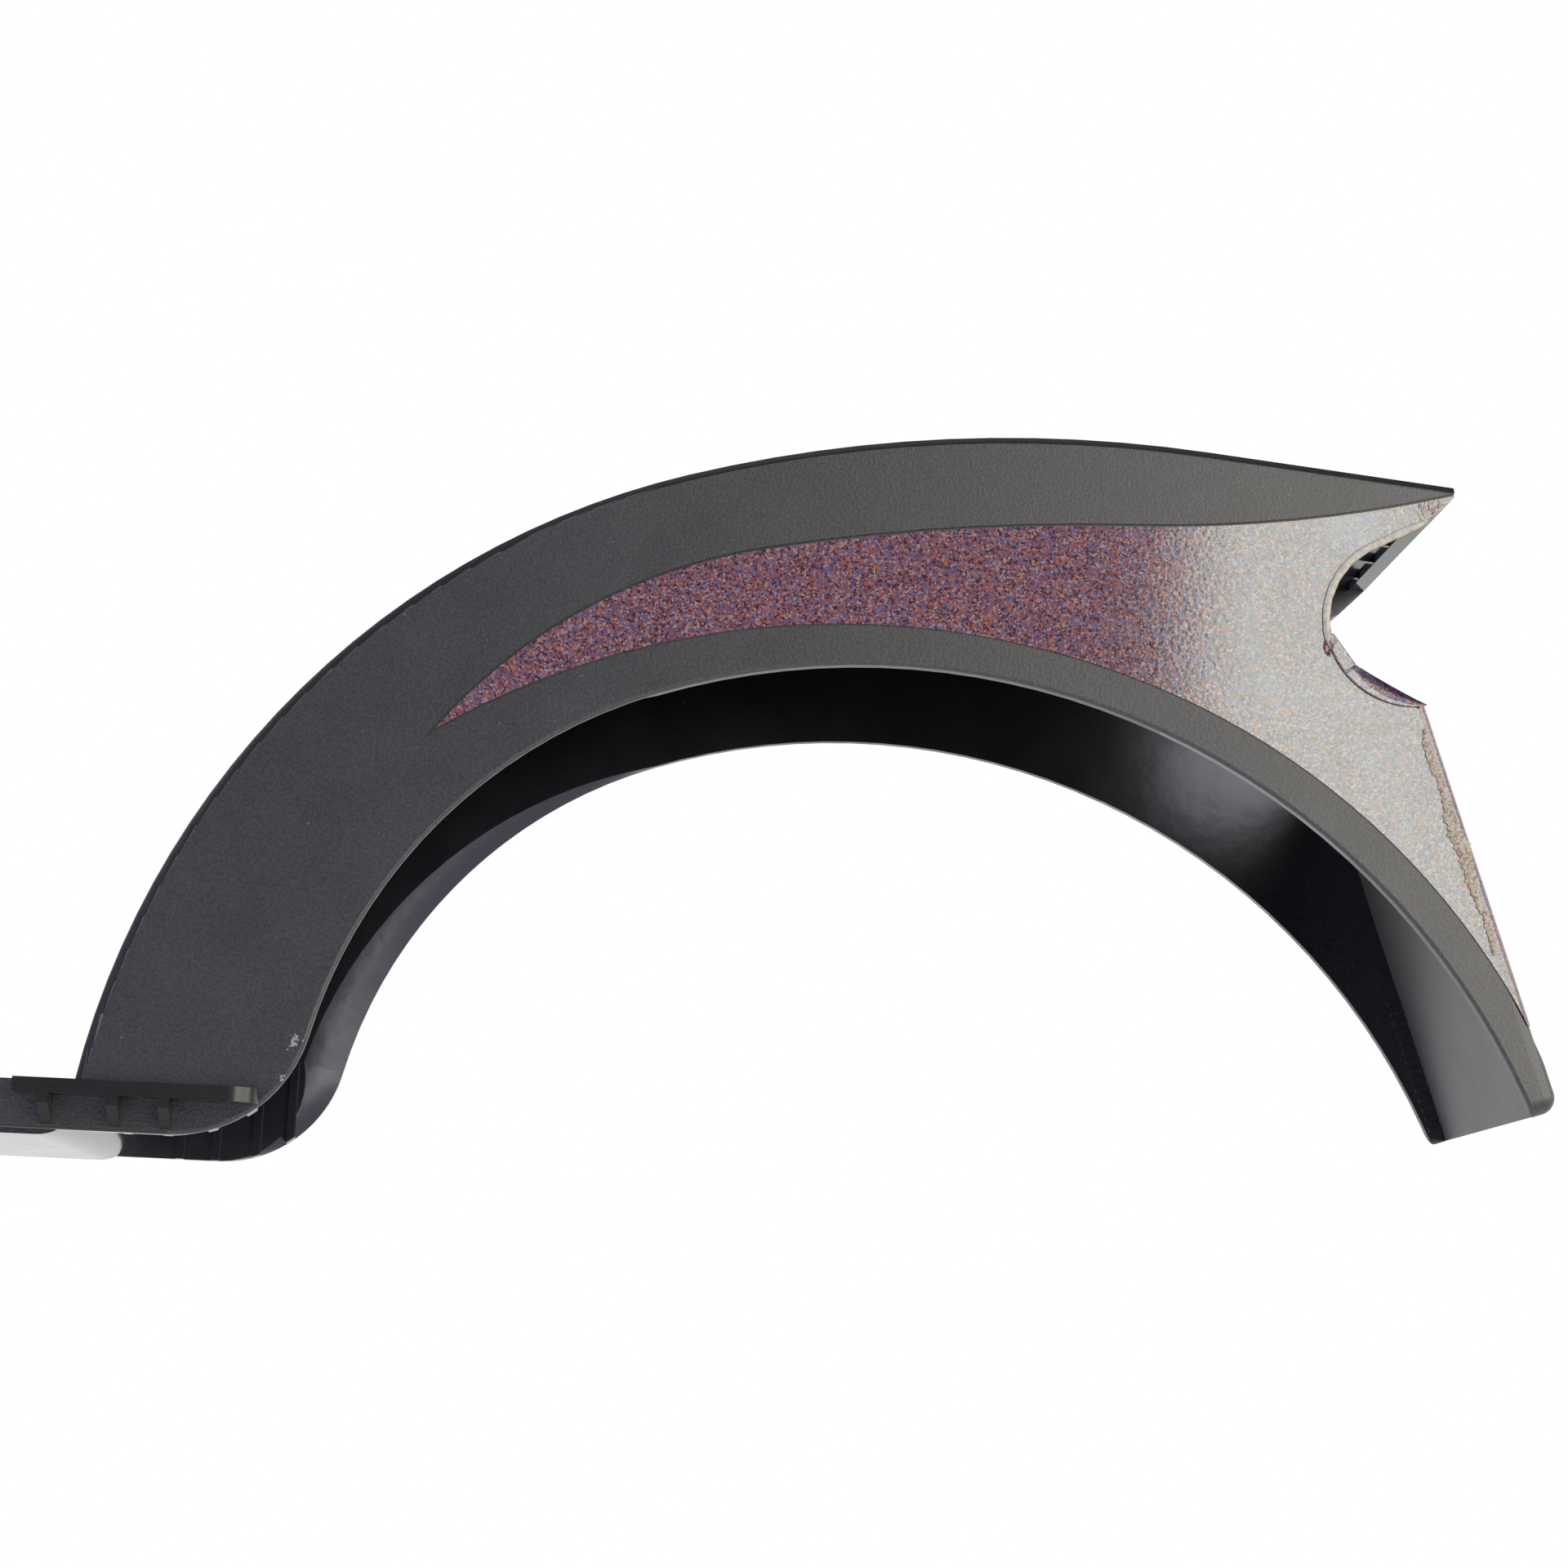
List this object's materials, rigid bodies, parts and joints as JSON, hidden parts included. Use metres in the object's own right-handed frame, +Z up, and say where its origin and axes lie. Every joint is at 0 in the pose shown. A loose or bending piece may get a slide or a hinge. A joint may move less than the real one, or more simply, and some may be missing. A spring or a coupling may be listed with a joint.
{
  "type": "scooter rear mudguard",
  "caption": "Moulded hood over a small scooter's rear wheel, with a fixing tongue, side ledges, a lamp notch in its forked tail and reflective film on both cheeks.",
  "frame": {"origin": "on the flat underside of the fixing tongue, midway between its two screw holes", "axes": "+X to the rear along the scooter, +Z up, Y across the wheel with the part alike on both sides of Y = 0"},
  "size_m": [0.3501, 0.102, 0.1558],
  "materials": {
    "black_plastic": "fine moulded grain, satin, slightly scuffed along the edges",
    "reflective_film": "glittering metallised film, silver towards the light and purple away from it"
  },
  "bodies": {
    "root": {"mudguard_shell": "black_plastic", "reflective_film_left": "reflective_film", "reflective_film_right": "reflective_film"}
  },
  "joints": []
}
